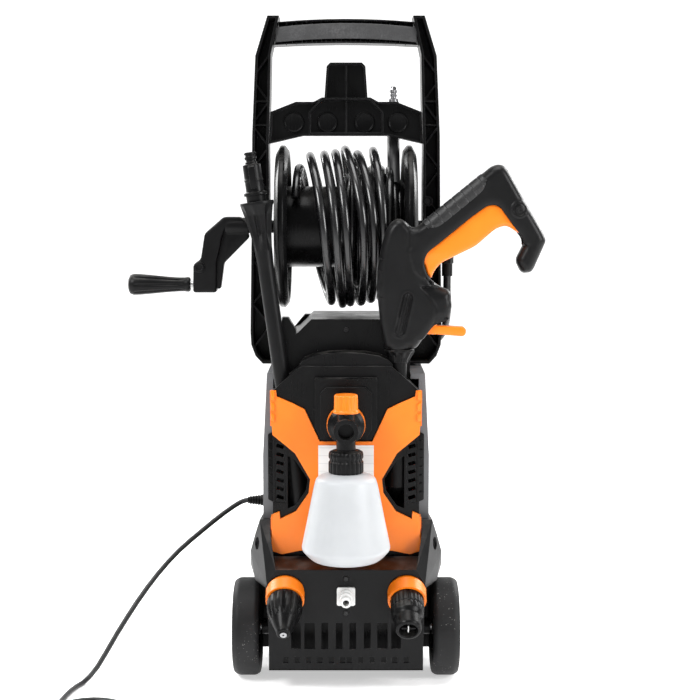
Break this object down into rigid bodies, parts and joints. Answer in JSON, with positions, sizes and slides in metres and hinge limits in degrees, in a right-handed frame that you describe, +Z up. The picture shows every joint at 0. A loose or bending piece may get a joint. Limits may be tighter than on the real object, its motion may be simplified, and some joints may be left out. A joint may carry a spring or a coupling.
{
  "type": "pressure washer",
  "caption": "Upright electric pressure washer with a crank hose reel, tall ribbed handle, stored spray gun, lance, foam bottle and nozzles on a wheeled base.",
  "frame": {"origin": "on the floor, on the machine's centre plane, in the flat sole of its base", "axes": "+Z up, +X to the right of the operator who faces the machine's wheel side, +Y away from the operator"},
  "size_m": [0.6375, 0.5955, 0.901],
  "materials": {
    "black": "fine-grained black",
    "soft": "dark grey, satin",
    "orange": "satin orange",
    "grey": "fine-grained grey",
    "white": "plain white",
    "bottle": "milky white",
    "rubber": "matt rubber",
    "tread": "ribbed tread",
    "hose": "matt hose",
    "steel": "turned steel",
    "screw": "zinc plated",
    "red": "plain red",
    "alu": "cast"
  },
  "bodies": {
    "machine": {"base_chassis": "black", "base_cowl": "soft", "front_cover": "black", "top_cover": "black", "side_panel_left": "grey", "side_panel_right": "grey", "rear_cover": "black", "rear_trim": "orange", "front_trim": "orange", "louvres": "soft", "holder_rings": "orange", "label_plate": "white", "water_inlet": "white", "body_screws": "screw", "axle": "steel", "axle_clips": "screw", "post_left": "black", "post_right": "black", "grip_bar": "black", "grip_band": "soft", "cross_panel": "black", "swivel_elbow": "soft", "feed_hose": "hose", "hose_tail": "hose", "hose_sleeve": "hose", "hose_connector": "steel", "cable_gland": "black", "power_cord": "rubber", "cord_coil": "rubber", "plug": "rubber", "motor_shroud": "red", "motor": "alu", "pump": "alu"},
    "wheel_l": {"wheel_left": "tread"},
    "wheel_r": {"wheel_right": "tread"},
    "reel": {"reel_drum": "black", "flange_left": "black", "flange_right": "black", "hose_coil": "hose", "crank_arm": "soft", "crank_pins": "screw"},
    "crank_grip": {"crank_knob": "soft"},
    "gun": {"gun_shell_front": "black", "gun_shell_back": "black", "gun_rubber": "rubber", "gun_valve": "steel"},
    "trigger": {"gun_trigger": "orange"},
    "latch": {"gun_latch": "orange"},
    "lance": {"lance_tube": "black", "lance_fitting": "soft"},
    "foam_lance": {"foam_body": "black", "foam_cap": "black"},
    "foam_dial": {"foam_knob": "orange"},
    "bottle": {"foam_bottle": "bottle"},
    "turbo": {"turbo_nozzle": "black", "turbo_tip": "steel"},
    "vario": {"vario_nozzle": "black"},
    "vario_tip": {"vario_insert": "white"},
    "switch": {"switch_knob": "orange"},
    "motor_rotor": {"rotor": "steel"}
  },
  "joints": [
    {"name": "wheel_left_spin", "type": "hinge", "parent": "machine", "child": "wheel_l", "pos_m": [0, -0.072, 0.066], "axis": [1, 0, 0], "continuous": true},
    {"name": "wheel_right_spin", "type": "hinge", "parent": "machine", "child": "wheel_r", "pos_m": [0, -0.072, 0.066], "axis": [1, 0, 0], "continuous": true},
    {"name": "reel_spin", "type": "hinge", "parent": "machine", "child": "reel", "pos_m": [0, 0.06, 0.608], "axis": [1, 0, 0], "continuous": true},
    {"name": "crank_grip_spin", "type": "hinge", "parent": "reel", "child": "crank_grip", "pos_m": [-0.26, 0.06, 0.526], "axis": [1, 0, 0], "continuous": true},
    {"name": "gun_lift", "type": "slide", "parent": "machine", "child": "gun", "axis": [0, 0, 1], "range_m": [0, 0.1]},
    {"name": "trigger_pull", "type": "hinge", "parent": "gun", "child": "trigger", "pos_m": [0.096, -0.076, 0.571], "axis": [0, -1, 0], "range_deg": [0, 8], "stiffness_Nm_per_rad": 1, "springref_deg": -11.46},
    {"name": "hose_latch", "type": "hinge", "parent": "gun", "child": "latch", "pos_m": [0.104, -0.076, 0.474], "axis": [0, -1, 0], "range_deg": [0, 12], "stiffness_Nm_per_rad": 0.2, "springref_deg": -17.19},
    {"name": "lance_lift", "type": "slide", "parent": "machine", "child": "lance", "axis": [-0.1357, 0, 0.9907], "range_m": [0, 0.16]},
    {"name": "foam_pull", "type": "slide", "parent": "machine", "child": "foam_lance", "axis": [0, -1, 0], "range_m": [0, 0.05]},
    {"name": "foam_dial_turn", "type": "hinge", "parent": "foam_lance", "child": "foam_dial", "pos_m": [0, -0.16, 0.38], "axis": [0, 0, 1], "range_deg": [0, 270]},
    {"name": "bottle_unscrew", "type": "hinge", "parent": "foam_lance", "child": "bottle", "pos_m": [0, -0.165, 0.25], "axis": [0, 0, -1], "range_deg": [0, 360]},
    {"name": "turbo_pull", "type": "slide", "parent": "machine", "child": "turbo", "axis": [0, -0.866, -0.5], "range_m": [0, 0.05]},
    {"name": "vario_pull", "type": "slide", "parent": "machine", "child": "vario", "axis": [0, -0.866, -0.5], "range_m": [0, 0.05]},
    {"name": "vario_turn", "type": "hinge", "parent": "vario", "child": "vario_tip", "pos_m": [0.08, -0.152, 0.128], "axis": [0, -0.866, -0.5], "range_deg": [0, 90]},
    {"name": "switch_turn", "type": "hinge", "parent": "machine", "child": "switch", "pos_m": [0, 0.118, 0.39], "axis": [0, 1, 0], "range_deg": [0, 90]},
    {"name": "rotor_spin", "type": "hinge", "parent": "machine", "child": "motor_rotor", "pos_m": [0, 0.022, 0.3], "axis": [0, 0, 1], "continuous": true}
  ]
}
